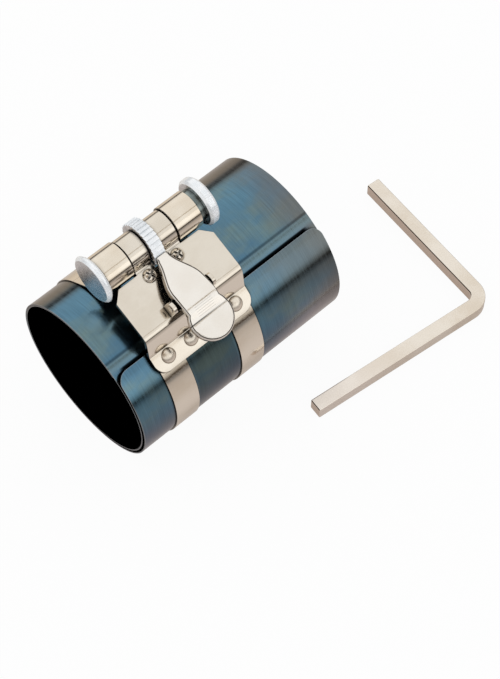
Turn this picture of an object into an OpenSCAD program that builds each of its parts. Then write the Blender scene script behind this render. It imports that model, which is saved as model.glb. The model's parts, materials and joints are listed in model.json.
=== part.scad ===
// Ratchet piston ring compressor lying on its side, with its square key beside it.
// The sleeve axis is X and the origin is the middle of the bore.
// The mechanism is drawn with its plate level, then the whole tool is rolled to its resting attitude.

/* [Sleeve] */
// Radius of the bore that the innermost turn makes
bore_r = 26.8; // [22:0.1:40]
// Length of the sleeve along its axis
sleeve_len = 80; // [70:1:120]
// Thickness of the spring steel sheet
sheet_t = 0.4; // [0.3:0.05:0.6]
// Clear space between neighbouring turns
lap_gap = 0.06; // [0.03:0.01:0.2]
// Turns of sheet from the inner edge to the outer edge
sleeve_turns = 2; // [1.8:0.1:3]
// Space under the free outer edge
edge_gap = 1.3; // [0.7:0.05:1.8]
// Place of the free outer edge, in degrees from the plate normal towards the foot
edge_angle = 13; // [10:0.5:16]
// Corner radius of the free outer edge
edge_corner_r = 4; // [2:0.5:6]
// Roll of the tool on the floor, in degrees from plate level
rest_roll = 23.2; // [0:0.1:40]

/* [Bands] */
// Width of each tightening band
band_w = 9; // [7:0.5:12]
// Thickness of each band
band_t = 0.4; // [0.3:0.05:0.6]
// Outer radius of the band wound on the drum
coil_r = 6.3; // [5.8:0.1:6.6]

/* [Drum] */
// Distance of the drum axis in front of the plate normal through the bore
drum_p = 19.6; // [19:0.1:21]
// Clear space between the drum's largest rim and the sleeve
flange_gap = 5.5; // [4.5:0.1:6.5]
// Radius of the winding shaft
shaft_r = 4.3; // [4.1:0.05:4.5]
// Radius of the end flanges
flange_r = 8; // [7.2:0.1:8.4]
// Thickness of the closed near flange
near_flange_t = 2.2; // [2:0.1:3]
// Thickness of the far flange round the key socket
far_flange_t = 3.6; // [2.5:0.1:6]
// Length of the collar between the far coil and its flange
collar_len = 2; // [1:0.1:4]
// Radius of that collar
collar_r = 5.4; // [4.8:0.1:5.8]
// Side of the square key socket
socket_side = 5; // [4:0.1:5.2]
// Depth of the key socket
socket_depth = 13; // [8:0.5:16]

/* [Ratchet] */
// Tip radius of the ratchet wheel
wheel_r = 7.6; // [7.2:0.1:8]
// Width of the ratchet wheel
wheel_w = 4; // [3:0.1:5]
// Number of ratchet teeth
teeth = 30; // [24:1:36]
// Depth of a tooth
tooth_depth = 0.6; // [0.4:0.05:0.8]
// Clearance between the pawl nose and the tooth tips at rest
nose_gap = 0.25; // [0.2:0.05:0.4]
// Place of the pawl nose round the wheel, in degrees from the drum axis
nose_angle = 142; // [138:1:146]

/* [Bracket] */
// Middle of the mechanism along the sleeve axis
bracket_x = -10; // [-12:0.1:0]
// Width of the bracket plate
plate_w = 37.5; // [36.5:0.5:44]
// Thickness of the bracket sheet
plate_t = 1.2; // [1:0.1:1.6]
// Height of the plate top over the drum axis
plate_rise = 1; // [0.6:0.1:1.2]
// Place along the plate where its level part ends and the step begins
plate_back = -2.1; // [-2.4:0.1:-1.8]
// Slope of the step between plate and foot
step_angle = 60; // [56:0.5:62]
// Width of each knuckle on the drum
knuckle_w = 6.1; // [5:0.1:7]
// Chamfer of the upper plate corners
plate_chamfer = 3.3; // [2:0.1:4.5]
// Corner radius of the foot
foot_corner_r = 4; // [2:0.5:4.5]
// End of the curved foot, in degrees from the plate normal
foot_end = 29; // [28:0.5:31]

/* [Lever] */
// Thickness of the lever sheet
lever_t = 1.2; // [1:0.1:1.4]
// Place of the lever pin along the plate
pin_p = -1; // [-1.2:0.1:-0.4]
// Height of the lever pin over the plate
pin_rise = 4; // [3.8:0.1:4.3]
// Radius of the lever pin
pin_r = 1; // [0.8:0.05:1.1]
// Radius of the ears round the pin
ear_r = 2; // [1.8:0.05:2]
// Half width of the lever at its nose
nose_half = 2.3; // [2:0.1:2.6]
// Half width of the lever at its pin
waist_half = 6; // [5.6:0.1:6.2]
// Radius of the thumb pad
pad_r = 7.2; // [6.8:0.1:7.6]
// Middle of the thumb pad along the plate
pad_p = -9.8; // [-10.4:0.1:-9.4]
// Depth of the lip turned down round the thumb pad
lip_depth = 1; // [0.6:0.1:1.4]
// Wire diameter of the torsion spring
spring_wire = 0.5; // [0.4:0.05:0.55]
// Turns of the torsion spring
spring_turns = 5; // [3:1:6]

/* [Fasteners] */
// Radius of a rivet shank
rivet_r = 1.2; // [1:0.05:1.4]
// Radius of a rivet head
rivet_head_r = 2.4; // [2:0.1:2.5]
// Height of a rivet head
rivet_head_h = 1.2; // [0.8:0.1:1.4]
// Place of the rivets, in degrees from the plate normal
rivet_angle = 20.5; // [20.5:0.25:22]
// Radius of a knuckle screw shank
screw_r = 1.25; // [1:0.05:1.4]
// Radius of a knuckle screw head
screw_head_r = 2.2; // [1.8:0.1:2.3]
// Height of a knuckle screw head
screw_head_h = 1.4; // [1:0.1:1.6]

/* [Key] */
// Side of the square key bar
key_side = 4.8; // [3.8:0.1:5]
// Outer length of the long leg
key_long = 71; // [60:1:90]
// Outer length of the short leg
key_short = 60; // [40:1:70]
// Inner radius of the key's bend
key_bend_r = 2.5; // [1.5:0.25:5]
// Angle between the key's legs
key_angle = 88; // [86:0.5:92]
// Place of the key's outer corner along the sleeve axis
key_x = 85.3; // [80:0.1:100]
// Place of the key's outer corner in front of the sleeve axis
key_y = -56.2; // [-80:0.1:-54]
// Heading of the long leg on the floor
key_heading = 173.3; // [165:0.1:185]

/* [Hidden] */
$fn = 96;

// Clearances
seat_gap = 0.03;
run_gap = 0.08;
side_gap = 0.3;
eps = 0.02;
splice = 0.02;
splice_len = 0.6;

// Spiral of the sleeve: half-turn arcs on two centres along the line through the free edge
half_step = (sheet_t + lap_gap) / 2;
edge_dir = 90 + edge_angle;
edge_unit = [cos(edge_dir), sin(edge_dir)];
halves = ceil(2 * sleeve_turns);
inner_sweep = 180 * (2 * sleeve_turns - (halves - 1));
odd_shift = (halves % 2 == 0) ? half_step : -half_step;
function lap_r(k) = bore_r + k * half_step;
function lap_shift(k) = (k % 2 == 0) ? 0 : odd_shift;
lap2_r = lap_r(halves - 2);
lap2_shift = lap_shift(halves - 2);
back_reach = lap2_r - lap2_shift;
edge_reach = lap_r(halves - 3) + lap_shift(halves - 3) + sheet_t + edge_gap;
outer_r = (back_reach + edge_reach) / 2;
outer_shift = (edge_reach - back_reach) / 2;
outer_centre = outer_shift * edge_unit;
lap2_centre = lap2_shift * edge_unit;

// Bands on the sleeve
band_on_outer_r = outer_r + sheet_t + seat_gap;
band_on_lap2_r = lap2_r + sheet_t + seat_gap;
band_start = 3;

// Drum place and layout along the axis
rim_r = max(flange_r, wheel_r);
drum_dist = lap2_r + sheet_t + rim_r + flange_gap;
drum_w = sqrt(drum_dist * drum_dist - drum_p * drum_p);
drum_dir = atan2(drum_w, drum_p);
slot_w = wheel_w + 2 * side_gap;
tab_w = slot_w + 2 * knuckle_w;
coil_x0 = tab_w / 2 + side_gap;
band_x = coil_x0 + band_w / 2;
near_face_x = -(coil_x0 + band_w + side_gap + near_flange_t);
collar_x0 = coil_x0 + band_w;
far_flange_x0 = collar_x0 + collar_len;
far_face_x = far_flange_x0 + far_flange_t;
tenon_r = 2.5;
tenon_len = 1.1;
chamfer_flange = 0.8;

// Where a band leaves the sleeve for the underside of its coil
coil_reach = coil_r + side_gap;
band_outside_r = band_on_lap2_r + band_t;
leave_angle = drum_dir - acos((band_outside_r + coil_reach) / drum_dist);
leave_len = sqrt(pow(drum_dist, 2) - pow(band_outside_r + coil_reach, 2));

// Bracket levels
plate_top = drum_w + plate_rise;
plate_bottom = plate_top - plate_t;
slot_gap = 0.4;
plate_front = drum_p - coil_r - slot_gap;
knuckle_in_r = shaft_r + run_gap;
knuckle_r = knuckle_in_r + plate_t;
slot_p = drum_p - wheel_r - slot_gap;
foot_r = band_on_outer_r + band_t + seat_gap;
foot_mid_r = foot_r + plate_t / 2;
fold_gap = 0.1;
fold_r = 1.4;
fold_out = fold_r + knuckle_r;
fold_up = fold_r + plate_rise;
fold_p = drum_p - sqrt(fold_out * fold_out - fold_up * fold_up);
screw_x = (slot_w + knuckle_w) / 2;
screw_p = min(plate_front, fold_p) - screw_head_r - fold_gap;
return_w = plate_bottom - fold_gap - plate_t / 2;
return_p0 = screw_p - 2 * screw_head_r;
return_p1 = screw_p + screw_head_r / 2;
rivet_xs = [-band_x, -band_x / 3, band_x / 3, band_x];

// Step of the plate: a bend, a straight slope, and a bend back onto the foot's arc
step_r = 2.9;
toe_r = 1.2;
step_centre = [plate_back, plate_bottom + plate_t / 2 - step_r];
step_down = [-cos(step_angle), -sin(step_angle)];
step_out = [-sin(step_angle), cos(step_angle)];
toe_from = step_centre + (step_r + toe_r) * step_out - outer_centre;
toe_along = toe_from * step_down;
toe_reach = foot_mid_r + toe_r;
toe_run = -toe_along - sqrt(toe_along * toe_along - toe_from * toe_from + toe_reach * toe_reach);
toe_centre = outer_centre + toe_from + toe_run * step_down;
foot_start = atan2(toe_centre[1] - outer_centre[1], toe_centre[0] - outer_centre[0]);
head_room = atan((rivet_head_r + fold_gap) / (foot_r + plate_t));
rivet_turn = max(rivet_angle, foot_start - 90 + head_room);
foot_stop = max(foot_end, rivet_turn + head_room);
foot_low_p = outer_centre[0] + (foot_r + plate_t) * cos(90 + foot_stop);

// Lever pin, ears and profile
pin_w = plate_top + pin_rise;
ear_gap = 0.8;
ear_in = waist_half + ear_gap;
ear_t = plate_t;
nose_reach = wheel_r + nose_gap;
nose_p = drum_p + nose_reach * cos(nose_angle);
nose_w = drum_w + nose_reach * sin(nose_angle);
kink_p = pin_p - 2.4;
kink_w = pin_w + 3.7;
kink2_p = pad_p + 1;
kink2_w = pin_w + 2.1;
pad_end_p = pad_p - pad_r;
pad_end_w = pin_w + 1.6;
nose_bevel_len = 2.7;
wall_t = 1;

// Ratchet teeth: the steep face lies just behind the engaged nose
tooth_step = 360 / teeth;
steep_sweep = 0.8;
steep_phase = nose_angle + 2.4;

// Floor under the bands
floor_z = outer_shift * cos(edge_angle + rest_roll) - (band_on_outer_r + band_t);

steel_blue = [0.24, 0.40, 0.48];
nickel = [0.82, 0.76, 0.66];
zinc = [0.80, 0.84, 0.87];
dark_steel = [0.35, 0.38, 0.36];

// Rolls the tool from plate level to its resting attitude
module rolled() {
    rotate([rest_roll, 0, 0]) children();
}

// Draws a flat outline across the axis and stretches it along X
module along_x(x0, len) {
    translate([x0, 0, 0]) rotate([90, 0, 90]) linear_extrude(len) children();
}

// Carries an arc to a centre on the line through the free edge, and to an angle from that edge
module on_spiral(x0, shift, from) {
    translate([x0, 0, 0])
        rotate([90, 0, 90])
            rotate([0, 0, edge_dir])
                translate([shift, 0, 0])
                    rotate([0, 0, from]) children();
}

// Part of a thin ring, over a sweep of degrees
module sheet_arc(r, t, sweep, len) {
    rotate_extrude(angle = sweep) translate([r, 0]) square([t, len]);
}

// Carries a shape onto the drum axis
module on_drum(x0) {
    translate([bracket_x + x0, drum_p, drum_w]) rotate([0, 90, 0]) children();
}

// Carries a shape onto the outside of the foot, at one rivet
module at_rivet(x) {
    translate([bracket_x + x, outer_centre[0], outer_centre[1]])
        rotate([rivet_turn, 0, 0])
            translate([0, 0, foot_r + plate_t]) children();
}

// Rivet holes down through foot, band and sleeve
module rivet_holes() {
    hole_depth = plate_t + band_t + sheet_t + side_gap;
    for (x = rivet_xs)
        at_rivet(x)
            translate([0, 0, -hole_depth]) cylinder(r = rivet_r + eps, h = hole_depth + 1);
}

// A straight strip in a flat outline
module strip(a, b, t) {
    d = b - a;
    translate(a) rotate(atan2(d[1], d[0])) translate([0, -t / 2]) square([norm(d), t]);
}

// A low dome of given rim radius and height
module dome(rim, h) {
    ball = (rim * rim + h * h) / (2 * h);
    rotate_extrude()
        intersection() {
            translate([0, h - ball]) circle(ball);
            square([rim, h]);
        }
}

// Rounds one corner of the free outer edge; side is -1 at the near end and 1 at the far end
module edge_corner_cut(side) {
    translate([side * sleeve_len / 2, outer_centre[0], outer_centre[1]])
        rotate([edge_angle, 0, 0])
            translate([0, 0, outer_r - sheet_t])
                linear_extrude(3 * sheet_t)
                    scale([side, 1])
                        difference() {
                            translate([-edge_corner_r, -edge_corner_r]) square(edge_corner_r + 1);
                            translate([-edge_corner_r, -edge_corner_r]) circle(edge_corner_r);
                        }
}

module ring_sleeve() {
    x0 = -sleeve_len / 2;
    color(steel_blue) rolled() {
        difference() {
            union() {
                on_spiral(x0, outer_shift, 0) sheet_arc(outer_r, sheet_t, 180, sleeve_len);
                for (j = [1 : halves - 1]) {
                    k = halves - 1 - j;
                    sweep = (k == 0) ? inner_sweep : 180;
                    on_spiral(x0, lap_shift(k), 180 * j) sheet_arc(lap_r(k), sheet_t, sweep, sleeve_len);
                }
            }
            edge_corner_cut(-1);
            edge_corner_cut(1);
            rivet_holes();
        }
    }
}

// One tightening band: on the outer turn, on the next turn, then straight to its coil
module band(x) {
    x0 = bracket_x + x - band_w / 2;
    back_sweep = leave_angle + 180 - edge_dir;
    difference() {
        union() {
            on_spiral(x0, outer_shift, 180)
                mirror([0, 1, 0]) sheet_arc(band_on_outer_r, band_t, 180 - band_start, band_w);
            on_spiral(x0, lap2_shift, 180) sheet_arc(band_on_lap2_r, band_t, back_sweep, band_w);
            along_x(x0, band_w)
                translate(lap2_centre) rotate(leave_angle)
                    translate([band_on_lap2_r + splice, -splice_len])
                        square([band_t - 2 * splice, leave_len + splice_len]);
        }
        rivet_holes();
    }
}

module near_band() {
    color(nickel) rolled() band(-band_x);
}

module far_band() {
    color(nickel) rolled() band(band_x);
}

// Level plate seen from above: chamfered at the drum, rounded at the foot
module plate_outline() {
    half = plate_w / 2;
    difference() {
        translate([-half, foot_low_p]) square([plate_w, plate_front - foot_low_p]);
        for (side = [-1, 1]) {
            translate([side * half, plate_front]) rotate(45)
                square(plate_chamfer * sqrt(2), center = true);
            scale([side, 1]) difference() {
                translate([half - foot_corner_r, foot_low_p - 1]) square(foot_corner_r + 1);
                translate([half - foot_corner_r, foot_low_p + foot_corner_r]) circle(foot_corner_r);
            }
        }
    }
}

// Points of an arc, and one face of the bent sheet from the step's top bend to the foot's end
arc_steps = 10;
function arc_points(centre, r, from, to, first) = [
    for (i = [first : arc_steps])
        let (a = from + (to - from) * i / arc_steps) centre + r * [cos(a), sin(a)]];
function step_face(out) = concat(
    arc_points(step_centre, step_r + out, 90, 90 + step_angle, 0),
    arc_points(toe_centre, toe_r - out, step_angle - 90, foot_start - 180, 0),
    arc_points(outer_centre, foot_mid_r + out, foot_start, 90 + foot_stop, 1));
function backwards(list) = [for (i = [len(list) - 1 : -1 : 0]) list[i]];

// Side view of the bent sheet: level plate, step and curved foot
module plate_side() {
    polygon(concat(
        [[plate_front, plate_top]],
        step_face(plate_t / 2),
        backwards(step_face(-plate_t / 2)),
        [[plate_front, plate_bottom]]));
}

// Side view of a knuckle: the sheet folds up from the plate, goes over the shaft and comes back below
module knuckle_side() {
    axis = [drum_p, drum_w];
    mean_r = knuckle_r - plate_t / 2;
    mouth_top = 180 - asin((plate_top - plate_t / 2 - drum_w) / mean_r);
    tail = [return_p1, return_w];
    reach = tail - axis;
    touch = atan2(reach[1], reach[0]) + 360 + acos(mean_r / norm(reach));
    touch_point = axis + mean_r * [cos(touch), sin(touch)];
    into_loop = (touch_point - tail) / norm(touch_point - tail);
    mouth_low = touch + 1;
    mouth_reach = 2 * knuckle_r;
    fold_centre = [fold_p, plate_top + fold_r];
    difference() {
        union() {
            translate(axis) difference() {
                circle(knuckle_r);
                polygon([
                    [0, 0],
                    mouth_reach * [cos(mouth_top), sin(mouth_top)],
                    mouth_reach * [cos(mouth_low), sin(mouth_low)]]);
            }
            translate([plate_front - fold_gap, plate_bottom]) square([drum_p - plate_front, plate_t]);
            difference() {
                polygon([fold_centre, [fold_centre[0], plate_top - plate_t / 4], axis]);
                translate(fold_centre) circle(fold_r - splice);
            }
            strip(tail, touch_point + splice_len / 2 * into_loop, plate_t - 2 * splice);
            translate(tail) circle((plate_t - splice) / 2);
            translate([return_p0, return_w - plate_t / 2]) square([return_p1 - return_p0, plate_t]);
        }
        translate(axis) circle(knuckle_in_r);
    }
}

// Side view of an ear that carries the lever pin
module ear_side() {
    translate([pin_p, pin_w]) circle(ear_r);
    translate([pin_p - ear_r, plate_bottom]) square([2 * ear_r, pin_w - plate_bottom]);
}

module bracket_plate() {
    knuckle_x = [-tab_w / 2, slot_w / 2];
    window_w = pin_rise + ear_r;
    color(nickel) rolled()
        difference() {
            union() {
                intersection() {
                    along_x(bracket_x - plate_w / 2, plate_w) plate_side();
                    translate([bracket_x, 0, 0]) linear_extrude(2 * drum_w) plate_outline();
                }
                for (x = knuckle_x) along_x(bracket_x + x, knuckle_w) knuckle_side();
                for (x = [-ear_in - ear_t, ear_in]) along_x(bracket_x + x, ear_t) ear_side();
            }
            translate([bracket_x - slot_w / 2, slot_p, plate_bottom - 1])
                cube([slot_w, plate_front - slot_p + 1, plate_t + 2]);
            for (side = [-1, 1])
                translate([bracket_x + side * (ear_in - window_w / 2), pin_p, plate_top])
                    cube([window_w, 2 * ear_r, 3 * plate_t], center = true);
            rivet_holes();
            for (side = [-1, 1])
                translate([bracket_x + side * screw_x, screw_p, 0])
                    cylinder(r = screw_r + eps, h = 2 * drum_w);
            translate([bracket_x - plate_w, pin_p, pin_w])
                rotate([0, 90, 0]) cylinder(r = pin_r + eps, h = 2 * plate_w);
        }
}

module foot_rivets() {
    grip = plate_t + band_t + sheet_t + 2 * seat_gap;
    tail_h = 0.5;
    tail_gap = 0.1;
    tail_end = grip + tail_gap + tail_h;
    color(nickel) rolled()
        for (x = rivet_xs) at_rivet(x) {
            translate([0, 0, seat_gap]) dome(rivet_head_r, rivet_head_h);
            translate([0, 0, -tail_end]) cylinder(r = rivet_r, h = tail_end + 3 * seat_gap);
            translate([0, 0, -tail_end]) cylinder(r = rivet_head_r - 0.3, h = tail_h);
        }
}

module knuckle_screws() {
    cross_w = 0.6;
    cross_len = 3;
    cross_depth = 0.8;
    shank = 2 * plate_t + cross_w;
    color(nickel) rolled()
        for (side = [-1, 1])
            translate([bracket_x + side * screw_x, screw_p, plate_top + seat_gap])
                difference() {
                    union() {
                        dome(screw_head_r, screw_head_h);
                        translate([0, 0, -shank]) cylinder(r = screw_r, h = shank + fold_gap);
                    }
                    for (turn = [25, 115])
                        rotate([0, 0, turn])
                            translate([-cross_len / 2, -cross_w / 2, screw_head_h - cross_depth])
                                cube([cross_len, cross_w, 2 * cross_depth]);
                }
}

module lever_pin() {
    reach = ear_in + ear_t + side_gap;
    color(nickel) rolled()
        translate([bracket_x - reach, pin_p, pin_w])
            rotate([0, 90, 0]) cylinder(r = pin_r, h = 2 * reach);
}

// A round wire swept along a list of points
module wire(path, d, sides) {
    last = len(path) - 1;
    function heading(i) = let (v = path[min(i + 1, last)] - path[max(i - 1, 0)]) v / norm(v);
    function ring(i) = let (h = heading(i), s = cross(h, [1, 0.02, 0.03]), a = s / norm(s), b = cross(h, a))
        [for (j = [0 : sides - 1]) path[i] + d / 2 * (cos(360 * j / sides) * a + sin(360 * j / sides) * b)];
    points = [for (i = [0 : last]) each ring(i)];
    walls = [
        for (i = [0 : last - 1], j = [0 : sides - 1])
            let (k = (j + 1) % sides, a = i * sides, b = a + sides)
                each [[a + j, a + k, b + k], [a + j, b + k, b + j]]];
    caps = [[for (j = [sides - 1 : -1 : 0]) j], [for (j = [0 : sides - 1]) last * sides + j]];
    polyhedron(points, concat(walls, caps), convexity = 6);
}

module lever_spring() {
    wire_gap = 0.1;
    coil_mid_r = pin_r + spring_wire / 2 + run_gap;
    pitch = spring_wire + wire_gap;
    steps = 16;
    wire_sides = 8;
    leg_reach = 2.5;
    total = spring_turns * steps + steps / 2;
    x0 = -pitch * total / steps / 2;
    coil = [for (i = [0 : total]) let (a = 360 * i / steps - 90)
        [x0 + pitch * i / steps, coil_mid_r * cos(a), coil_mid_r * sin(a)]];
    leg_low = [x0, -leg_reach, spring_wire / 2 + wire_gap - pin_rise];
    leg_high = [-x0, -leg_reach, coil_mid_r];
    color(zinc) rolled()
        translate([bracket_x, pin_p, pin_w])
            wire(concat([leg_low], coil, [leg_high]), spring_wire, wire_sides);
}

// Half width of the lever along the plate, from nose to waist
nose_taper = 12;
function lever_half(p) = let (f = min(1, max(0, (nose_p - p) / nose_taper)))
    nose_half + (waist_half - nose_half) * (1 - cos(180 * f)) / 2;
taper_points = 16;
function taper_p(i) = nose_p - nose_taper * i / taper_points;

module lever_outline(inset) {
    polygon(concat(
        [for (i = [0 : taper_points]) [lever_half(taper_p(i)) - inset, taper_p(i)]],
        [[waist_half - inset, pad_p + 2], [inset - waist_half, pad_p + 2]],
        [for (i = [taper_points : -1 : 0]) [inset - lever_half(taper_p(i)), taper_p(i)]]));
    translate([0, pad_p]) circle(pad_r - inset);
}

// Side view of the lever sheet with its bevelled nose and two bends
module lever_side() {
    slope = (kink_w - nose_w) / (nose_p - kink_p);
    polygon([
        [nose_p, nose_w],
        [kink_p, kink_w],
        [kink2_p, kink2_w],
        [pad_end_p - 1, pad_end_w],
        [pad_end_p - 1, pad_end_w - lever_t],
        [kink2_p + 0.1, kink2_w - lever_t],
        [kink_p + 0.3, kink_w - lever_t],
        [nose_p - nose_bevel_len, nose_w + slope * nose_bevel_len - lever_t]]);
}

// Side view of the turned-down walls that reach the pin
module lever_wall_side() {
    translate([pin_p, pin_w]) circle(ear_r);
    polygon([
        [pin_p - ear_r, pin_w],
        [pin_p - ear_r, kink_w - lever_t],
        [nose_p - nose_bevel_len, nose_w - 0.5],
        [nose_p - nose_bevel_len, nose_w - lever_t],
        [pin_p + ear_r, pin_w]]);
}

// Side view of the lip turned down round the thumb pad
module lever_lip_side() {
    half_t = lever_t / 2;
    low = lever_t + lip_depth;
    polygon([
        [kink_p + half_t, kink_w - half_t],
        [kink2_p, kink2_w - half_t],
        [pad_end_p - 1, pad_end_w - half_t],
        [pad_end_p - 1, pad_end_w - low],
        [kink2_p, kink2_w - low],
        [kink_p + half_t, kink_w - low]]);
}

module release_lever() {
    x_half = pad_r + 1;
    color(nickel) rolled()
        difference() {
            union() {
                intersection() {
                    along_x(bracket_x - x_half, 2 * x_half) lever_side();
                    translate([bracket_x, 0, 0]) linear_extrude(2 * drum_w) lever_outline(0);
                }
                intersection() {
                    along_x(bracket_x - x_half, 2 * x_half) {
                        lever_wall_side();
                        lever_lip_side();
                    }
                    translate([bracket_x, 0, 0]) linear_extrude(2 * drum_w)
                        difference() {
                            lever_outline(0);
                            lever_outline(wall_t);
                        }
                }
            }
            translate([bracket_x - plate_w, pin_p, pin_w])
                rotate([0, 90, 0]) cylinder(r = pin_r + run_gap, h = 2 * plate_w);
        }
}

module winding_shaft() {
    shaft_x0 = near_face_x + near_flange_t;
    color(dark_steel) rolled()
        difference() {
            union() {
                on_drum(shaft_x0) cylinder(r = shaft_r, h = far_face_x - shaft_x0);
                on_drum(shaft_x0 - tenon_len) cylinder(r = tenon_r, h = tenon_len + 1);
            }
            on_drum(far_face_x - socket_depth)
                rotate([0, 0, -rest_roll])
                    translate([-socket_side / 2, -socket_side / 2, 0])
                        cube([socket_side, socket_side, socket_depth + 1]);
        }
}

// Saw teeth round the drum, steep towards the loosening turn
module ratchet_wheel() {
    root_r = wheel_r - tooth_depth;
    color(zinc) rolled()
        along_x(bracket_x - wheel_w / 2, wheel_w)
            translate([drum_p, drum_w])
                difference() {
                    polygon([for (i = [0 : teeth - 1]) let (a = steep_phase + i * tooth_step)
                        each [wheel_r * [cos(a), sin(a)],
                              root_r * [cos(a + steep_sweep), sin(a + steep_sweep)]]]);
                    circle(shaft_r + eps);
                }
}

// A disc with both rims broken
module flange_disc(t) {
    rotate_extrude()
        polygon([
            [0, 0],
            [flange_r - chamfer_flange, 0],
            [flange_r, chamfer_flange],
            [flange_r, t - chamfer_flange],
            [flange_r - chamfer_flange, t],
            [0, t]]);
}

module near_flange() {
    color(zinc) rolled()
        difference() {
            on_drum(near_face_x) flange_disc(near_flange_t - seat_gap);
            on_drum(near_face_x + near_flange_t - tenon_len - eps)
                cylinder(r = tenon_r + eps, h = tenon_len + 1);
        }
}

module far_flange() {
    color(zinc) rolled()
        difference() {
            on_drum(far_flange_x0 + seat_gap) flange_disc(far_flange_t - seat_gap);
            on_drum(far_flange_x0 - 1) cylinder(r = shaft_r + eps, h = far_flange_t + 2);
        }
}

module far_collar() {
    color(dark_steel) rolled()
        difference() {
            on_drum(collar_x0 + seat_gap) cylinder(r = collar_r, h = collar_len - seat_gap);
            on_drum(collar_x0 - 1) cylinder(r = shaft_r + eps, h = collar_len + 2);
        }
}

// Band wound on the shaft, with a flat and a step where the straight lead-in leaves the outer turn
module band_coil(x0) {
    lead_in = 180 + leave_angle;
    along_x(bracket_x + x0, band_w)
        translate([drum_p, drum_w])
            difference() {
                circle(coil_r);
                circle(shaft_r + eps);
                rotate(lead_in) translate([coil_r - band_t, 0]) square(coil_r);
            }
}

module near_band_coil() {
    color(nickel) rolled() band_coil(-coil_x0 - band_w);
}

module far_band_coil() {
    color(nickel) rolled() band_coil(coil_x0);
}

// Square bar lying on the floor, bent once
module square_key() {
    turn = 180 - key_angle;
    outside = key_bend_r + key_side;
    bend_centre = [outside / tan(key_angle / 2), -outside];
    leg = [cos(key_angle), -sin(key_angle)];
    leg_side = [sin(key_angle), cos(key_angle)];
    bend_points = 24;
    function bend(i, r) = let (a = 90 + turn * i / bend_points) bend_centre + r * [cos(a), sin(a)];
    color(nickel)
        translate([key_x, key_y, floor_z]) rotate([0, 0, key_heading])
            linear_extrude(key_side)
                polygon(concat(
                    [[key_long, -key_side], [key_long, 0]],
                    [for (i = [0 : bend_points]) bend(i, outside)],
                    [key_short * leg, key_short * leg + key_side * leg_side],
                    [for (i = [bend_points : -1 : 0]) bend(i, key_bend_r)]));
}

ring_sleeve();
near_band();
far_band();
bracket_plate();
foot_rivets();
knuckle_screws();
lever_pin();
lever_spring();
release_lever();
winding_shaft();
ratchet_wheel();
near_flange();
far_flange();
far_collar();
near_band_coil();
far_band_coil();
square_key();
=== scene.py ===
import json
import math

import bmesh
import bpy
from mathutils import Matrix, Vector


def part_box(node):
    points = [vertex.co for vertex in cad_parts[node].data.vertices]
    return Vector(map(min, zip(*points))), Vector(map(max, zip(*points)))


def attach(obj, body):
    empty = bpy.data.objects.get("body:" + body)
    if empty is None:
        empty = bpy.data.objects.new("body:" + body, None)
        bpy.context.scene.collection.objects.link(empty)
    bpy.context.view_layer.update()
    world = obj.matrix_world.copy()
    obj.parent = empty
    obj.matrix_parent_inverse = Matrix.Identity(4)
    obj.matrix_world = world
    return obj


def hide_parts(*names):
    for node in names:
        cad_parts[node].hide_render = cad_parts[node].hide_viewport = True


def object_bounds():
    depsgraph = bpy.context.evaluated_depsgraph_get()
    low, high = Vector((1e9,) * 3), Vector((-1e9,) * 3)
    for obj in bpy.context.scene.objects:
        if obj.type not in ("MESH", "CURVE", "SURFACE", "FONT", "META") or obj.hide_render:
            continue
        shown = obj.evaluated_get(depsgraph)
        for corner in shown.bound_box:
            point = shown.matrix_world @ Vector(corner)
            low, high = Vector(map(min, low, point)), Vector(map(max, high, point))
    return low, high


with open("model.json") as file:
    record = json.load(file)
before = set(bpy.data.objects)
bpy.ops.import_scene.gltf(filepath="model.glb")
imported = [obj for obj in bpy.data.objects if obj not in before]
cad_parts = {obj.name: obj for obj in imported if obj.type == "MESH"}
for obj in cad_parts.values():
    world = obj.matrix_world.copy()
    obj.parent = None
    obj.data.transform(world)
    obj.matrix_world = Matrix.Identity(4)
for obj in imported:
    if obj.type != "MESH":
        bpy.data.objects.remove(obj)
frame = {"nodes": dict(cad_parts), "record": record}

CAD_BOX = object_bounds()
MM = 0.001
# Roll of the tool on the floor, about the sleeve axis
ROLL = math.radians(23.2)
# Directions in the plate's frame: out of its top face, and along it from the foot to the drum
PLATE_UP = Vector((0, -math.sin(ROLL), math.cos(ROLL)))
PLATE_ALONG = Vector((0, math.cos(ROLL), math.sin(ROLL)))
UP = Vector((0, 0, 1))
NODES = frame["nodes"]
BODY_OF = {n: b for b, ns in frame["record"]["behaviour"]["bodies"].items() for n in ns}
DRUM = next(j for j in frame["record"]["behaviour"]["joints"] if j["name"] == "drum_spin")
FLOOR_Z = CAD_BOX[0][2]

scene = bpy.context.scene
scene.view_settings.view_transform = "Standard"

CREVICE_RAYS = 12
EDGE_RAYS = 8
# Cosines of the turn at an edge, where its wear and painted highlight start and where they are full
EDGE_NONE = 0.995
EDGE_FULL = 0.93


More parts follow.
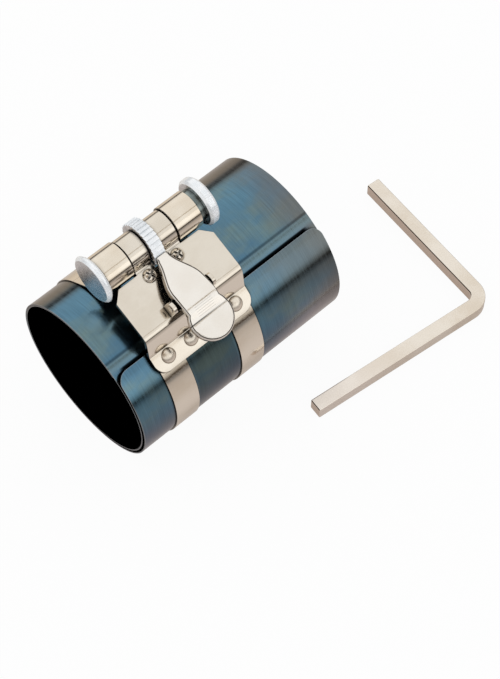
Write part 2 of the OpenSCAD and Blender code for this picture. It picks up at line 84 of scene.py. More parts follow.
# Shader nodes
class Shade:
    """Short names for the nodes of one shader tree."""

    def __init__(self, tree):
        self.tree = tree

    def add(self, kind, inputs, **settings):
        node = self.tree.nodes.new("ShaderNode" + kind)
        for key, value in settings.items():
            setattr(node, key, value)
        for key, value in inputs.items():
            if isinstance(value, bpy.types.NodeSocket):
                self.tree.links.new(value, node.inputs[key])
            else:
                node.inputs[key].default_value = value
        return node

    def maths(self, operation, a, b=0.0):
        return self.add("Math", {0: a, 1: b}, operation=operation).outputs[0]

    def product(self, first, *others):
        for other in others:
            first = self.maths("MULTIPLY", first, other)
        return first

    def blend(self, a, share_a, b, share_b):
        return self.maths("ADD", self.product(a, share_a), self.product(b, share_b))

    def off(self, value, middle):
        """How far the value lies from the middle, on either side."""
        return self.maths("ABSOLUTE", self.maths("SUBTRACT", value, middle))

    def span(self, value, low, high, to_low=0.0, to_high=1.0):
        """A smooth step from to_low at low to to_high at high; low may be the larger of the two."""
        inputs = {0: value, 1: low, 2: high, 3: to_low, 4: to_high}
        return self.add("MapRange", inputs, interpolation_type="SMOOTHSTEP").outputs[0]

    def hump(self, value, low, risen, falling, high):
        """0 outside low and high, 1 between risen and falling."""
        return self.product(self.span(value, low, risen), self.span(value, high, falling))

    def mix(self, factor, a, b):
        a = (*a, 1) if isinstance(a, tuple) else a
        b = (*b, 1) if isinstance(b, tuple) else b
        return self.add("Mix", {0: factor, 6: a, 7: b}, data_type="RGBA").outputs[2]

    def along(self, vector, way):
        return self.add("VectorMath", {0: vector, 1: way}, operation="DOT_PRODUCT").outputs["Value"]

    def xyz(self, vector):
        split = self.add("SeparateXYZ", {0: vector})
        return split.outputs[0], split.outputs[1], split.outputs[2]


class Finish(Shade):
    """A metal finish, in the coordinates of the object that carries it."""

    def __init__(self, name):
        self.material = bpy.data.materials.new(name)
        self.material.use_nodes = True
        super().__init__(self.material.node_tree)
        self.shader = self.tree.nodes["Principled BSDF"]
        self.shader.inputs["Metallic"].default_value = 1.0
        coordinates = self.add("TexCoord", {})
        self.place = coordinates.outputs["Object"]
        self.normal = coordinates.outputs["Normal"]

    def combine(self, x, y, z):
        return self.add("CombineXYZ", {0: x, 1: y, 2: z}).outputs[0]

    def scaled(self, vector, scale, turn=(0, 0, 0)):
        return self.add("Mapping", {"Vector": vector, "Scale": scale, "Rotation": turn}).outputs[0]

    def noise(self, vector, scale, detail=3.0, rough=0.5):
        inputs = {"Vector": vector, "Scale": scale, "Detail": detail, "Roughness": rough}
        return self.add("TexNoise", inputs).outputs[0]

    def times(self, color, factor):
        return self.add("VectorMath", {0: color, "Scale": factor}, operation="SCALE").outputs[0]

    def world_normal(self):
        return self.add("NewGeometry", {}).outputs["Normal"]

    def crevice_shade(self, reach_mm, shut, clear, least=0.0):
        """Painted shade: 1 on open surfaces, down to least in crevices narrower than the reach."""
        inputs = {"Distance": reach_mm * MM}
        openness = self.add("AmbientOcclusion", inputs, samples=CREVICE_RAYS).outputs["AO"]
        return self.span(openness, shut, clear, least, 1.0)

    def edges(self, radius_mm):
        """1 beside edges, 0 elsewhere."""
        rounded = self.add("Bevel", {"Radius": radius_mm * MM}, samples=EDGE_RAYS).outputs[0]
        return self.span(self.along(rounded, self.world_normal()), EDGE_NONE, EDGE_FULL)

    def feed(self, name, socket):
        self.tree.links.new(socket, self.shader.inputs[name])

    def bump(self, height, strength, distance_mm):
        inputs = {"Height": height, "Strength": strength, "Distance": distance_mm * MM}
        self.feed("Normal", self.add("Bump", inputs).outputs[0])


# Materials: pairs of numbers are where a step starts and where it is full
# The parts of a noise's range in which one tone goes over to the other
SOFT = (0.36, 0.64)
PLATED = (0.36, 0.62)

# Blued steel of the sleeve. Turns are angles about its axis from straight up to the back, in radians
SLEEVE_R = 27.5 * MM
# Scale of the grain round the sleeve, where it is drawn out, against its scale along the axis
DRAWN = 0.02
CLEAR_BLUE = (0.122, 0.246, 0.328)
DEEP_BLUE = (0.086, 0.182, 0.268)
GREEN = (0.160, 0.240, 0.244)
GREEN_NOISE = (0.42, 0.70)
# Painted reflections of the floor, by the turn: taupe to the back, plum and pink in front
TAUPE = (0.195, 0.178, 0.160)
TAUPE_START = (0.60, 0.92)
TAUPE_END = (1.15, 1.60)
PLUM = (0.105, 0.120, 0.170)
PLUM_TURN = (-0.85, -1.50)
PINK = (0.330, 0.290, 0.320)
PINK_X = (10 * MM, 34 * MM)
GREY = (0.160, 0.146, 0.138)
GREY_X = (36 * MM, 52 * MM)
GREY_SHARE = 0.7
OLIVE = (0.150, 0.165, 0.160)
OLIVE_X = (16 * MM, 36 * MM)
OLIVE_TURN = (-1.35, -1.00)
OLIVE_SHARE = 0.65
# How far the patches push the grey and the olive along the axis
RAGGED = 22 * MM
# The open sleeve between the bands, along the axis, and the painted shade on its front
BANDS_X = (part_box("near_band")[1][0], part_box("far_band")[0][0])
BETWEEN_SHADE_FADE = 1.5 * MM
BETWEEN_SHADE_TURN = (-0.3, -0.6)
BETWEEN_SHADE_LEFT = 0.6
# The sleeve's free edge: its turn, its inner radius, and where its straight part ends
EDGE_TURN = math.radians(-36.2)
EDGE_SOFT = 0.01
EDGE_R = 28.8 * MM
EDGE_STEP = 0.2 * MM
EDGE_X = (38.5 * MM, 35.5 * MM)
# The shadow under the free edge: the angle that it covers, where it starts, and the colour that it leaves
GAP_TURN = 0.046
GAP_START = 0.004
GAP_LEFT = 0.03
# The painted reflection on the turn below the free edge: a pale strip, its angle, and the darker line that
# ends it
STRIP_REFLECTION = (0.21, 0.32, 0.37)
STRIP_TURN = 0.155
STRIP_SOFT = 0.02
STRIP_SHARE = 0.55
STRIP_LINE = (0.030, 0.004)
STRIP_LINE_LEFT = 0.5
# Lighter beside the sleeve's edges, as wear and as a painted highlight
EDGE_WEAR_AND_HIGHLIGHT = (0.30, 0.34, 0.38)
EDGE_WEAR_AND_HIGHLIGHT_MM = 0.25
# Black painted shade inside the sleeve, and the step to it
INSIDE_SHADE = (0.005, 0.006, 0.008)
INSIDE_STEP = 0.002


def temper_colors_and_reflections(f, x, turn, patches, clouds):
    """Temper colours blue and green on top; painted reflections of the floor, taupe to the back and plum and
    pink in front; grey and olive at the far end.
    """
    blue = f.mix(f.span(clouds, *SOFT), CLEAR_BLUE, DEEP_BLUE)
    green = f.mix(f.span(patches, *GREEN_NOISE), blue, GREEN)
    back = f.span(f.blend(turn, 1.0, clouds, 0.4), *TAUPE_START)
    behind = f.span(turn, *TAUPE_END)
    taupe = f.mix(f.maths("SUBTRACT", back, behind), green, TAUPE)
    front = f.span(f.blend(turn, 1.0, clouds, 0.5), *PLUM_TURN)
    plum = f.mix(front, taupe, f.mix(f.span(x, *PINK_X), PLUM, PINK))
    ragged_x = f.blend(x, 1.0, patches, RAGGED)
    grey = f.mix(f.span(ragged_x, *GREY_X, 0.0, GREY_SHARE), plum, GREY)
    outer_turn = f.hump(turn, *OLIVE_TURN, EDGE_TURN - EDGE_SOFT, EDGE_TURN + EDGE_SOFT)
    olive = f.product(f.span(ragged_x, *OLIVE_X, 0.0, OLIVE_SHARE), outer_turn)
    return f.mix(olive, grey, OLIVE)


def between_bands_shade(f, x, turn):
    """Painted shade: less than 1 on the front of the sleeve between the bands."""
    near, far = BANDS_X
    between = f.hump(x, near, near + BETWEEN_SHADE_FADE, far - BETWEEN_SHADE_FADE, far)
    return f.span(f.product(between, f.span(turn, *BETWEEN_SHADE_TURN)), 0.0, 1.0, 1.0, BETWEEN_SHADE_LEFT)


def painted_reflection_strip(f, turn, color):
    """The colour with a painted reflection on the turn below the free edge: a pale strip and a dark line."""
    from_line = f.maths("SUBTRACT", turn, EDGE_TURN + STRIP_TURN)
    strip = f.hump(from_line, -STRIP_TURN, -STRIP_TURN / 2, -STRIP_SOFT, 0.0)
    paler = f.mix(f.product(strip, STRIP_SHARE), color, STRIP_REFLECTION)
    return f.times(paler, f.span(f.maths("ABSOLUTE", from_line), *STRIP_LINE, 1.0, STRIP_LINE_LEFT))


def gap_shade(f, x, y, z, turn):
    """Nearly 0 on the turn below the free edge, along its straight part, 1 elsewhere."""
    past_edge = f.maths("SUBTRACT", turn, EDGE_TURN)
    beside = f.hump(past_edge, 0.0, GAP_START, GAP_TURN / 2, GAP_TURN)
    straight = f.span(f.maths("ABSOLUTE", x), *EDGE_X)
    radius = f.maths("SQRT", f.blend(y, y, z, z))
    below = f.span(radius, EDGE_R, EDGE_R - EDGE_STEP)
    return f.span(f.product(beside, straight, below), 0.0, 1.0, 1.0, GAP_LEFT)


def blued_steel():
    """Blued spring steel: grain drawn round the sleeve, temper colours, painted reflections and shade, black
    painted shade inside.
    """
    f = Finish("blued_steel")
    x, y, z = f.xyz(f.place)
    turn = f.maths("ARCTAN2", y, z)
    around = f.product(turn, SLEEVE_R)
    grain_at = f.combine(x, f.product(around, DRAWN), 0.0)
    fine = f.noise(grain_at, scale=4600, detail=2.0)
    coarse = f.noise(grain_at, scale=900)
    patches = f.noise(f.combine(f.product(x, 0.6), around, 0.3), scale=60, detail=4.0, rough=0.6)
    clouds = f.noise(f.combine(x, around, 0.7), scale=26)
    tinted = temper_colors_and_reflections(f, x, turn, patches, clouds)
    streak = f.span(f.blend(fine, 0.75, coarse, 0.25), *SOFT, 0.88, 1.09)
    # Painted shade on the front of the sleeve between the bands
    outside = f.times(f.times(tinted, streak), between_bands_shade(f, x, turn))
    # The painted reflection below the free edge, and edges lighter as wear and as a painted highlight
    wear_and_highlight = f.mix(f.edges(EDGE_WEAR_AND_HIGHLIGHT_MM), painted_reflection_strip(f, turn, outside), EDGE_WEAR_AND_HIGHLIGHT)
    # Painted shade in crevices and under the free edge
    shade = f.product(
        f.crevice_shade(reach_mm=1.6, shut=0.64, clear=0.96),
        f.crevice_shade(reach_mm=3.0, shut=0.50, clear=0.86),
        f.crevice_shade(reach_mm=10.0, shut=0.14, clear=0.48),
        gap_shade(f, x, y, z, turn),
    )
    _, normal_y, normal_z = f.xyz(f.world_normal())
    # The inside of the sleeve is painted black as shade
    inside = f.span(f.blend(normal_y, y, normal_z, z), INSIDE_STEP, -INSIDE_STEP)
    f.feed("Base Color", f.mix(inside, f.times(wear_and_highlight, shade), INSIDE_SHADE))
    f.feed("Roughness", f.span(f.blend(fine, 0.5, patches, 0.5), *SOFT, 0.13, 0.21))
    f.bump(f.blend(fine, 0.6, coarse, 0.4), strength=0.05, distance_mm=0.03)
    return f.material


# Marks, painted shade and painted highlights on the bright nickel. Facing is 1 where a surface looks the
# same way as the plate's top
# The middle of the lever and of the plate, along the axis
LEVER_X = -10 * MM
# The fine lines across the lever's middle facet: places along the plate, half length, half width
PRESS_FIRST = -7.8 * MM
PRESS_LAST = -4.4 * MM
PRESS_STEP = 0.7 * MM
PRESS_HALF = (3.6 * MM, 2.88 * MM)
PRESS_WIDTH = (0.084 * MM, 0.014 * MM)
PRESS_LEFT = 0.62
# The painted shade in the crease above the thumb pad: place along the plate, half width, half length, depth
# at its two ends
CREASE_P = -8.8 * MM
CREASE_WIDTH = (0.30 * MM, 0.12 * MM)
CREASE_HALF = 6 * MM
CREASE_DEPTH = (0.85, 0.35)
# The dark painted reflection on the lever's rounded rim, and the painted shade on its turned-down wall
RIM_REFLECTION = (0.045, 0.034, 0.025)
RIM_FACING = (0.70, 0.80, 0.93, 0.953)
RIM_SHARE = 0.93
WALL_SHADE = (0.16, 0.12, 0.085)
WALL_FACING = (0.16, 0.02)
WALL_SHARE = 0.7
# Painted highlight on slopes like that of the plate's step
SLOPE_HIGHLIGHT = (0.97, 0.90, 0.80)
SLOPE_FACING = (0.30, 0.48, 0.52, 0.72)
SLOPE_SHARE = 0.8
# The plate's side edges, dark as painted shade: how far from its middle they lie, and how far they look
# along the axis
SIDE_SHADE = (0.040, 0.034, 0.029)
SIDE_SHADE_OFF = (11.0 * MM, 11.5 * MM)
SIDE_SHADE_SIDEWAYS = (0.45, 0.62)
SIDE_SHADE_SHARE = 0.92
# The painted shade ring at the foot of a rivet head, by how far its surface looks out along the rivet
RIVET_TURN = math.radians(43.7)
RIVET_OUT = Vector((0, -math.sin(RIVET_TURN), math.cos(RIVET_TURN)))
RIVET_FOOT_SHADE = (0.20, 0.135, 0.080)
RIVET_FOOT_FACING = (0.84, 0.58)
RIVET_FOOT_SHARE = 0.85
# Painted shade on surfaces that face down
UNDERSIDE_SHADE = (0.035, 0.030, 0.026)
UNDERSIDE_FACING = (-0.3, -0.7)


def press_lines_and_crease_shade(f):
    """1 on the plain metal, less on the fine lines that the press left, and less in the crease as painted
    shade.
    """
    p = f.along(f.place, PLATE_ALONG)
    x = f.xyz(f.place)[0]
    sides = f.span(f.off(x, LEVER_X), *PRESS_HALF)
    ends = f.hump(p, PRESS_FIRST - PRESS_STEP / 2, PRESS_FIRST, PRESS_LAST, PRESS_LAST + PRESS_STEP / 2)
    wave = f.maths("PINGPONG", f.maths("SUBTRACT", p, PRESS_FIRST), PRESS_STEP / 2)
    line = f.span(wave, *PRESS_WIDTH)
    lines = f.span(f.product(line, sides, ends), 0.0, 1.0, 1.0, PRESS_LEFT)
    # Painted shade in the crease
    crease = f.span(f.off(p, CREASE_P), *CREASE_WIDTH)
    depth = f.span(x, LEVER_X - CREASE_HALF, LEVER_X + CREASE_HALF, *CREASE_DEPTH)
    return f.product(lines, f.maths("SUBTRACT", 1.0, f.product(crease, depth)))


def lever_marks(f, color, facing):
    """The colour with the press lines, painted shade in the crease, a dark painted reflection round the rim
    and painted shade on the wall below it.
    """
    lined = f.times(color, press_lines_and_crease_shade(f))
    # A dark painted reflection on the rim
    rimmed = f.mix(f.product(f.hump(facing, *RIM_FACING), RIM_SHARE), lined, RIM_REFLECTION)
    # Painted shade on the turned-down wall
    return f.mix(f.span(facing, *WALL_FACING, 0.0, WALL_SHARE), rimmed, WALL_SHADE)


def slope_highlight(f, color, facing):
    """The colour, with a painted highlight on slopes like that of the plate's step."""
    # Painted highlight on slopes
    return f.mix(f.product(f.hump(facing, *SLOPE_FACING), SLOPE_SHARE), color, SLOPE_HIGHLIGHT)


def shaded_side_edges(f, color, facing):
    """The colour, with a painted highlight on slopes and painted shade on the plate's side edges."""
    sideways = f.span(f.maths("ABSOLUTE", f.xyz(f.normal)[0]), *SIDE_SHADE_SIDEWAYS)
    off = f.off(f.xyz(f.place)[0], LEVER_X)
    # Painted shade on the plate's side edges
    side_shade = f.product(sideways, f.span(off, *SIDE_SHADE_OFF, 0.0, SIDE_SHADE_SHARE))
    return f.mix(side_shade, slope_highlight(f, color, facing), SIDE_SHADE)


def shaded_rivet_foot(f, color, facing):
    """The colour, with a painted highlight on slopes and a brown painted shade ring at the foot of a rivet
    head.
    """
    # A ring of painted shade at the foot of the rivet head
    ring = f.span(f.along(f.normal, RIVET_OUT), *RIVET_FOOT_FACING, 0.0, RIVET_FOOT_SHARE)
    return f.mix(ring, slope_highlight(f, color, facing), RIVET_FOOT_SHADE)


def nickel(name, light, deep, under, marks=slope_highlight, smooth=0.09, satin=0.16):
    """Bright nickel plate: faint clouding, hairlines, small dull marks; painted shade below by the share
    under, and in crevices.
    """
    f = Finish(name)
    hair = f.noise(f.scaled(f.place, (0.05, 1.0, 1.0), (ROLL, 0, 0)), scale=3800, detail=2.0)
    clouds = f.noise(f.place, scale=95, detail=4.0, rough=0.55)
    specks = f.noise(f.place, scale=1500, rough=0.6)
    plated = f.mix(f.span(f.blend(clouds, 0.8, hair, 0.2), *PLATED), deep, light)
    spotted = f.mix(f.span(specks, 0.66, 0.76, 0.0, 0.25), plated, deep)
    facing = f.along(f.normal, PLATE_UP)
    marked = marks(f, spotted, facing)
    # Painted shade on surfaces that face down
    shaded_below = f.mix(f.span(facing, *UNDERSIDE_FACING, 0.0, under), marked, UNDERSIDE_SHADE)
    # Painted shade in crevices
    f.feed("Base Color", f.times(shaded_below, f.crevice_shade(reach_mm=2.0, shut=0.45, clear=0.92, least=0.02)))
    f.feed("Roughness", f.span(f.blend(hair, 0.5, specks, 0.5), 0.38, 0.64, smooth, satin))
    f.bump(f.blend(hair, 0.3, clouds, 0.7), strength=0.05, distance_mm=0.03)
    return f.material


# Tones of the zinc on the rims and, darker as painted shade, on the end faces, and how far an end face looks
# along the axis
RIM_ZINC = ((0.83, 0.86, 0.89), (0.96, 0.975, 0.99))
SHADED_END_ZINC = ((0.58, 0.58, 0.61), (0.84, 0.84, 0.86))
END_FACING = (0.90, 0.97)


def zinc(name, white, shade_left):
    """Zinc plate: crystalline grain, white on the rims by the share white, full metal darkened as painted
    shade on the end faces, painted shade in crevices down to shade_left.
    """
    f = Finish(name)
    grain = f.noise(f.place, scale=3000, rough=0.65)
    clouds = f.noise(f.place, scale=420, detail=4.0, rough=0.6)
    tone = f.span(f.blend(clouds, 0.6, grain, 0.4), *PLATED)
    end_face = f.span(f.maths("ABSOLUTE", f.xyz(f.world_normal())[0]), *END_FACING)
    # End faces darker, as painted shade
    either = f.mix(end_face, f.mix(tone, *RIM_ZINC), f.mix(tone, *SHADED_END_ZINC))
    # Painted shade in crevices
    f.feed("Base Color", f.times(either, f.crevice_shade(reach_mm=1.0, shut=0.25, clear=0.75, least=shade_left)))
    f.feed("Metallic", f.span(end_face, 0.0, 1.0, 1.0 - white, 1.0))
    f.feed("Roughness", f.span(grain, 0.32, 0.68, 0.20, 0.32))
    f.bump(f.blend(grain, 0.5, clouds, 0.5), strength=0.12, distance_mm=0.04)
    return f.material


OILED_STEEL = ((0.13, 0.16, 0.16), (0.30, 0.35, 0.34))


def dark_steel():
    """Oiled dark steel with a turned finish."""
    f = Finish("dark_steel")
    grain = f.noise(f.scaled(f.place, (1.0, 0.08, 0.08)), scale=3600, detail=2.0)
    clouds = f.noise(f.place, scale=220, detail=4.0)
    oiled = f.mix(f.span(f.blend(clouds, 0.6, grain, 0.4), 0.34, 0.66), *OILED_STEEL)
    # Painted shade in crevices
    f.feed("Base Color", f.times(oiled, f.crevice_shade(reach_mm=1.2, shut=0.30, clear=0.85, least=0.05)))
    f.feed("Roughness", f.span(grain, 0.3, 0.7, 0.14, 0.28))
    f.bump(grain, strength=0.08, distance_mm=0.03)
    return f.material


# Outward directions of the inner side and of the two long upper edges of the key's short leg
KEY_INNER = Vector((-0.9966, 0.0819, 0))
KEY_INNER_EDGE = (UP + KEY_INNER).normalized()
KEY_OUTER_EDGE = (UP - KEY_INNER).normalized()
KEY_TONES = ((0.73, 0.65, 0.55), (0.83, 0.77, 0.69))
KEY_PALE = (0.86, 0.80, 0.755)
KEY_PALE_X = (65 * MM, 20 * MM)
KEY_PALE_SHARE = 0.6
# How far a surface looks along those directions, and the painted shade and dark painted reflections that it
# gets
KEY_SIDE_SHADE = (0.69, 0.58, 0.49)
KEY_SIDE_FACING = (0.90, 0.97)
KEY_EDGE_REFLECTION = (0.035, 0.026, 0.02)
KEY_INNER_FACING = (0.82, 0.92)
KEY_OUTER_FACING = (0.92, 0.98)
KEY_OUTER_SHARE = 0.6


def satin_nickel():
    """Satin nickel of the key: soft clouding, paler at the near end, painted shade on the inner side and
    dark painted reflections along the upper edges of its short leg.
    """
    f = Finish("satin_nickel")
    clouds = f.noise(f.place, scale=70, detail=4.0, rough=0.55)
    specks = f.noise(f.place, scale=1700, rough=0.6)
    tone = f.blend(clouds, 0.75, specks, 0.25)
    clouded = f.mix(f.span(tone, *SOFT), *KEY_TONES)
    paler = f.mix(f.span(f.xyz(f.place)[0], *KEY_PALE_X, 0.0, KEY_PALE_SHARE), clouded, KEY_PALE)
    # Painted shade on the inner side of the short leg
    side = f.mix(f.span(f.along(f.normal, KEY_INNER), *KEY_SIDE_FACING), paler, KEY_SIDE_SHADE)
    inner = f.span(f.along(f.normal, KEY_INNER_EDGE), *KEY_INNER_FACING)
    outer = f.span(f.along(f.normal, KEY_OUTER_EDGE), *KEY_OUTER_FACING, 0.0, KEY_OUTER_SHARE)
    # Dark painted reflections along the upper edges of the short leg
    f.feed("Base Color", f.mix(f.maths("MAXIMUM", inner, outer), side, KEY_EDGE_REFLECTION))
    f.feed("Roughness", f.span(tone, *SOFT, 0.26, 0.17))
    f.bump(f.blend(clouds, 0.6, specks, 0.4), strength=0.05, distance_mm=0.03)
    return f.material


# Light and deep tones of the nickel
PLATE_TONES = ((0.765, 0.712, 0.63), (0.715, 0.655, 0.567))
LEVER_TONES = ((0.89, 0.86, 0.815), (0.85, 0.81, 0.755))
RIVET_TONES = ((0.84, 0.78, 0.69), (0.78, 0.71, 0.61))
ROUND_TONES = ((0.82, 0.755, 0.655), (0.755, 0.675, 0.565))

BLUED = blued_steel()
NICKEL = nickel("nickel", *PLATE_TONES, under=0.7)
NICKEL_LEVER = nickel("nickel_lever", *LEVER_TONES, under=0.75, marks=lever_marks)
NICKEL_PLATE = nickel("nickel_plate", *PLATE_TONES, under=0.7, marks=shaded_side_edges)
NICKEL_RIVET = nickel("nickel_rivet", *RIVET_TONES, under=0.0, marks=shaded_rivet_foot, smooth=0.28, satin=0.36)
NICKEL_ROUND = nickel("nickel_round", *ROUND_TONES, under=0.0)
ZINC = zinc("white_zinc", white=0.7, shade_left=0.6)
ZINC_WHEEL = zinc("wheel_zinc", white=0.75, shade_left=0.75)
DARK = dark_steel()
SATIN = satin_nickel()
FINISH_OF = {
    "ring_sleeve": BLUED,
    "near_band": NICKEL_ROUND,
    "far_band": NICKEL_ROUND,
    "bracket_plate": NICKEL_PLATE,
    "foot_rivets": NICKEL_RIVET,
    "knuckle_screws": NICKEL,
    "lever_pin": NICKEL,
    "lever_spring": ZINC,
    "release_lever": NICKEL_LEVER,
    "winding_shaft": DARK,
    "ratchet_wheel": ZINC_WHEEL,
    "near_flange": ZINC,
    "far_flange": ZINC,
    "far_collar": DARK,
    "near_band_coil": NICKEL_ROUND,
    "far_band_coil": NICKEL_ROUND,
    "square_key": SATIN,
}
for name, node in NODES.items():
    node.data.materials.clear()
    node.data.materials.append(FINISH_OF[name])


# Pieces whose edges are broken or rounded
JOIN_DISTANCE = 0.002 * MM
FLAT_ANGLE = math.radians(1)
# How far a face looks the plate's way: at least this on top, at most this on a side
TOP_FACE = 0.72
SIDE_FACE = 0.4


def clean_mesh(name):
    """The node's mesh with doubled points joined and flat faces made whole."""
    source = NODES[name].data
    work = bmesh.new()
    points = [work.verts.new(v.co) for v in source.vertices]
    for polygon in source.polygons:
        work.faces.new([points[i] for i in polygon.vertices])
    bmesh.ops.remove_doubles(work, verts=work.verts, dist=JOIN_DISTANCE)
    bmesh.ops.dissolve_limit(work, angle_limit=FLAT_ANGLE, verts=work.verts, edges=work.edges)
    for face in work.faces:
        face.smooth = True
    return work


def edge_share(edge, sharp, share, crowned):
    """How much of the bevel's width an edge gets: all on a rounded top outline, a share on other edges."""
    if len(edge.link_faces) != 2 or edge.calc_face_angle_signed(0) < sharp:
        return 0.0
    if crowned:
        heights = sorted(face.normal.dot(PLATE_UP) for face in edge.link_faces)
        if heights[1] > TOP_FACE and abs(heights[0]) < SIDE_FACE:
            return 1.0
    return share


def finished(name, work, width_mm, segments=2, sharp_deg=32, crown_mm=0.0):
    """Makes the piece that stands for a node from its mesh: outer edges rounded, inner corners sharp."""
    widest = max(width_mm, crown_mm)
    sharp = math.radians(sharp_deg)
    weights = work.edges.layers.float.new("bevel_weight_edge")
    for edge in work.edges:
        edge[weights] = edge_share(edge, sharp, width_mm / widest, crown_mm > 0)
        if edge[weights] == 0 and abs(edge.calc_face_angle_signed(0)) > sharp:
            edge.smooth = False
    mesh = bpy.data.meshes.new(name + "_edged")
    work.to_mesh(mesh)
    work.free()
    piece = bpy.data.objects.new(name + "_edged", mesh)
    scene.collection.objects.link(piece)
    bevel = piece.modifiers.new("edges", "BEVEL")
    bevel.width = widest * MM
    bevel.segments = segments
    bevel.limit_method = "WEIGHT"
    bevel.use_clamp_overlap = False
    bevel.harden_normals = True
    bpy.context.view_layer.update()
    shown = piece.evaluated_get(bpy.context.evaluated_depsgraph_get())
    final = bpy.data.meshes.new_from_object(shown)
    piece.modifiers.clear()
    piece.data = final
    final.materials.clear()
    final.materials.append(FINISH_OF[name])
    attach(piece, BODY_OF[name])
    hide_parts(name)


def with_broken_edges(name, width_mm, **edges):
    """Makes a copy of a CAD node with its edges rounded, its top outline by the crown where one is given."""
    finished(name, clean_mesh(name), width_mm, **edges)


# The wound lengths of band: sizes in millimetres, angles in the plate's frame
COIL_R = 6.3
CORE_R = 4.35
BAND_T = 0.36
LAYER_GAP = 0.04
LEAD_IN = math.radians(208)
TURN_STEPS = 72
BAND_EDGE = 0.06
BAND_SHARP_DEG = 40


def wound_band(name, trim_near_mm, trim_far_mm):
    """Winds a band on the drum, layer on layer and a little narrower than its solid, so that layers show."""
    low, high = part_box(name)
    near = low[0] + trim_near_mm * MM
    far = high[0] - trim_far_mm * MM
    axis_y, axis_z = DRUM["pos_m"][1:]
    pitch = BAND_T + LAYER_GAP
    steps = int(TURN_STEPS * (COIL_R - CORE_R - BAND_T) / pitch)
    work = bmesh.new()
    rings = []
    for i in range(steps + 1):
        angle = LEAD_IN - 2 * math.pi * i / TURN_STEPS + ROLL
        outer = COIL_R - pitch * i / TURN_STEPS
        inner = outer - BAND_T
        ring = []
        for radius, x in ((outer, near), (outer, far), (inner, far), (inner, near)):
            y = axis_y + radius * MM * math.cos(angle)
            z = axis_z + radius * MM * math.sin(angle)
            ring.append(work.verts.new((x, y, z)))
        rings.append(ring)
    for ring, following in zip(rings, rings[1:]):
        for k in range(len(ring)):
            j = (k + 1) % len(ring)
            work.faces.new((ring[k], ring[j], following[j], following[k]))
    work.faces.new(rings[0])
    work.faces.new(rings[-1])
    bmesh.ops.recalc_face_normals(work, faces=work.faces)
    for face in work.faces:
        face.smooth = True
    finished(name, work, BAND_EDGE, sharp_deg=BAND_SHARP_DEG)


with_broken_edges("bracket_plate", 0.12)
with_broken_edges("release_lever", 0.25, segments=4, crown_mm=0.9)
with_broken_edges("near_flange", 0.15, sharp_deg=25)
with_broken_edges("far_flange", 0.15, sharp_deg=25)
with_broken_edges("knuckle_screws", 0.08)
with_broken_edges("lever_pin", 0.2)
with_broken_edges("square_key", 0.35, segments=3)
wound_band("near_band_coil", trim_near_mm=0.0, trim_far_mm=0.3)
wound_band("far_band_coil", trim_near_mm=0.1, trim_far_mm=0.0)


# Camera
AZIMUTH = math.radians(-42.18)
ELEVATION = math.radians(59.94)
CAMERA_PLACE = Vector((-0.20043, -0.25265, 0.53329))
CLIP_START = 0.01
PHOTO_HEIGHT_PX = 679
FOCAL_PX = 2000
SENSOR_MM = 36
right = Vector((math.cos(AZIMUTH), math.sin(AZIMUTH), 0))
back = Vector((
    math.cos(ELEVATION) * math.sin(AZIMUTH),
    -math.cos(ELEVATION) * math.cos(AZIMUTH),
    math.sin(ELEVATION),
))
up = back.cross(right)
camera_data = bpy.data.cameras.new("photo_camera")
camera_data.sensor_width = SENSOR_MM
camera_data.lens = FOCAL_PX * SENSOR_MM / PHOTO_HEIGHT_PX
camera_data.clip_start = CLIP_START
camera = bpy.data.objects.new("photo_camera", camera_data)
pose = Matrix((right, up, back)).transposed().to_4x4()
pose.translation = CAMERA_PLACE
camera.matrix_world = pose
scene.collection.objects.link(camera)
scene.camera = camera


# Studio
class Stage(Shade):
    """Shader nodes of the floor or the world, which metal mirrors in other tones than the eye sees."""

    def __init__(self, tree, output):
        super().__init__(tree)
        tree.nodes.clear()
        self.out = tree.nodes.new("ShaderNode" + output)
        self.path = self.add("LightPath", {}).outputs

    def seen(self):
        return self.maths("MAXIMUM", self.path["Is Camera Ray"], self.path["Is Transmission Ray"])

    def light(self, kind, color, strength=1.0):
        color = (*color, 1) if isinstance(color, tuple) else color
        return self.add(kind, {"Color": color, "Strength": strength}).outputs[0]

    def either(self, factor, a, b):
        return self.add("MixShader", {0: factor, 1: a, 2: b}).outputs[0]

    def finish(self, surface):
        self.tree.links.new(surface, self.out.inputs["Surface"])


WHITE = (1, 1, 1)
FLOOR_HALF = 1.6
FLOOR_GREY = (0.86, 0.86, 0.86, 1)
# Shares of plain white to the eye and of the mirrored tones to metal; the rest is lit like any surface
FLOOR_WHITE = 0.94
FLOOR_MIRRORED = 0.75
# Centre of the lit part of the floor, how far its light reaches, and its tones, as reflections show it
LIT_X, LIT_Y = 0.02, -0.02
LIT_NEAR, LIT_FAR = 0.24, 0.62
LIT_CENTRE = (0.57, 0.50, 0.46)
LIT_AROUND = (0.45, 0.38, 0.34)
LIT_BEHIND = (0.66, 0.55, 0.42)
BEHIND_Y = (0.03, 0.12)
UNLIT = (0.05, 0.035, 0.027)


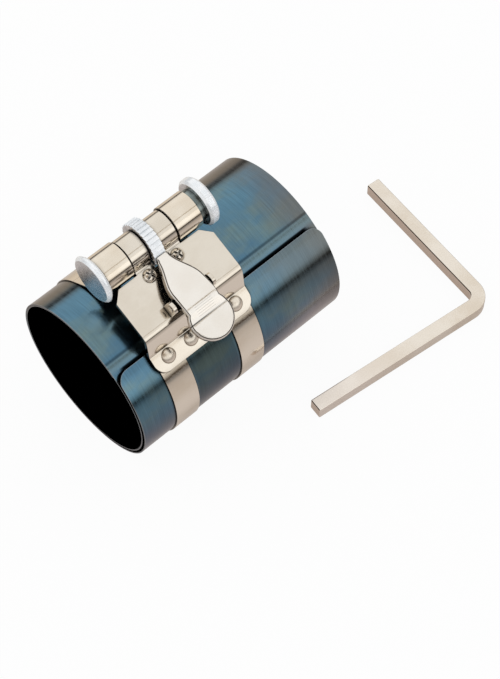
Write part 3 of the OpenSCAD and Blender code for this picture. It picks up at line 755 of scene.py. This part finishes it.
def floor():
    """A white floor, which metal mirrors tan near the object and dark far out."""
    mesh = bpy.data.meshes.new("floor")
    corners = [(x * FLOOR_HALF, y * FLOOR_HALF, FLOOR_Z) for x, y in ((-1, -1), (1, -1), (1, 1), (-1, 1))]
    mesh.from_pydata(corners, [], [(0, 1, 2, 3)])
    plane = bpy.data.objects.new("floor", mesh)
    scene.collection.objects.link(plane)
    material = bpy.data.materials.new("pale_floor")
    material.use_nodes = True
    s = Stage(material.node_tree, "OutputMaterial")
    place = s.add("TexCoord", {}).outputs["Object"]
    lit_at = (LIT_X, LIT_Y, FLOOR_Z)
    off = s.add("VectorMath", {0: place, 1: lit_at}, operation="DISTANCE").outputs["Value"]
    close = s.mix(s.span(off, LIT_NEAR / 4, LIT_NEAR), LIT_CENTRE, LIT_AROUND)
    tan = s.mix(s.span(s.xyz(place)[1], *BEHIND_Y), close, LIT_BEHIND)
    mirrored = s.light("Emission", s.mix(s.span(off, LIT_NEAR, LIT_FAR), tan, UNLIT))
    lit = s.add("BsdfDiffuse", {"Color": FLOOR_GREY}).outputs[0]
    shown = s.either(s.product(s.seen(), FLOOR_WHITE), lit, s.light("Emission", WHITE))
    s.finish(s.either(s.product(s.path["Is Glossy Ray"], FLOOR_MIRRORED), shown, mirrored))
    mesh.materials.append(material)


# The studio as metal mirrors it. Rises are heights at which a direction meets a sphere of radius 1
HORIZON = (0.05, 0.032, 0.02)
HORIZON_RISE = (0.03, 0.075)
LOW_WALL = (0.56, 0.52, 0.47)
HIGH_WALL = (1.02, 1.01, 0.99)
WALL_RISE = (0.03, 0.26)
CEILING = (0.97, 0.96, 0.94)
CEILING_RISE = (0.50, 0.90)
# The seams between the soft lights: angle about the sleeve axis from the back, half width, tone
SEAMS = (
    (math.radians(125), math.radians(2.2), (0.42, 0.34, 0.24)),
    (math.radians(146), math.radians(1.0), (0.66, 0.58, 0.48)),
)
# The unlit side of the studio: its direction, its tone, the cosines where its darkness ends and is full
DARK_WAY = Vector((-0.55, -0.08, 0.83)).normalized()
DARK_SIDE = (0.38, 0.31, 0.24)
DARK_NONE = math.cos(math.radians(30))
DARK_FULL = math.cos(math.radians(12))
# The plain light on everything that isn't a mirror
PLAIN_COLOR = (0.98, 0.99, 1)
PLAIN_STRENGTH = 0.92


def sky():
    """White all round for the eye; in reflections it has a dark horizon, two seams and an unlit side."""
    world = bpy.data.worlds.new("studio")
    scene.world = world
    world.use_nodes = True
    s = Stage(world.node_tree, "OutputWorld")
    way = s.add("TexCoord", {}).outputs["Generated"]
    _, y, z = s.xyz(way)
    wall = s.mix(s.span(z, *WALL_RISE), LOW_WALL, HIGH_WALL)
    tone = s.mix(s.span(z, *CEILING_RISE), wall, CEILING)
    around = s.maths("ARCTAN2", z, y)
    for angle, half, seam in SEAMS:
        tone = s.mix(s.span(s.off(around, angle), half, half / 2), tone, seam)
    tone = s.mix(s.span(s.along(way, DARK_WAY), DARK_NONE, DARK_FULL), tone, DARK_SIDE)
    mirrored = s.light("Background", s.mix(s.span(z, *HORIZON_RISE), HORIZON, tone))
    plain = s.light("Background", PLAIN_COLOR, PLAIN_STRENGTH)
    shown = s.either(s.seen(), plain, s.light("Background", WHITE))
    s.finish(s.either(s.path["Is Glossy Ray"], shown, mirrored))


def lamp(name, place, size, power, color):
    """Adds a square soft light that points at the middle of the sleeve."""
    data = bpy.data.lights.new(name, "AREA")
    data.shape = "SQUARE"
    data.size = size
    data.energy = power
    data.color = color
    obj = bpy.data.objects.new(name, data)
    obj.location = place
    obj.rotation_euler = (-Vector(place)).to_track_quat("-Z", "Y").to_euler()
    scene.collection.objects.link(obj)


floor()
sky()
lamp("front_softbox", (0.28, -0.86, 0.36), size=0.45, power=0.14, color=(1, 0.99, 0.97))
lamp("top_softbox", (-0.30, 0.30, 1.0), size=0.5, power=0.5, color=(1, 0.98, 0.95))
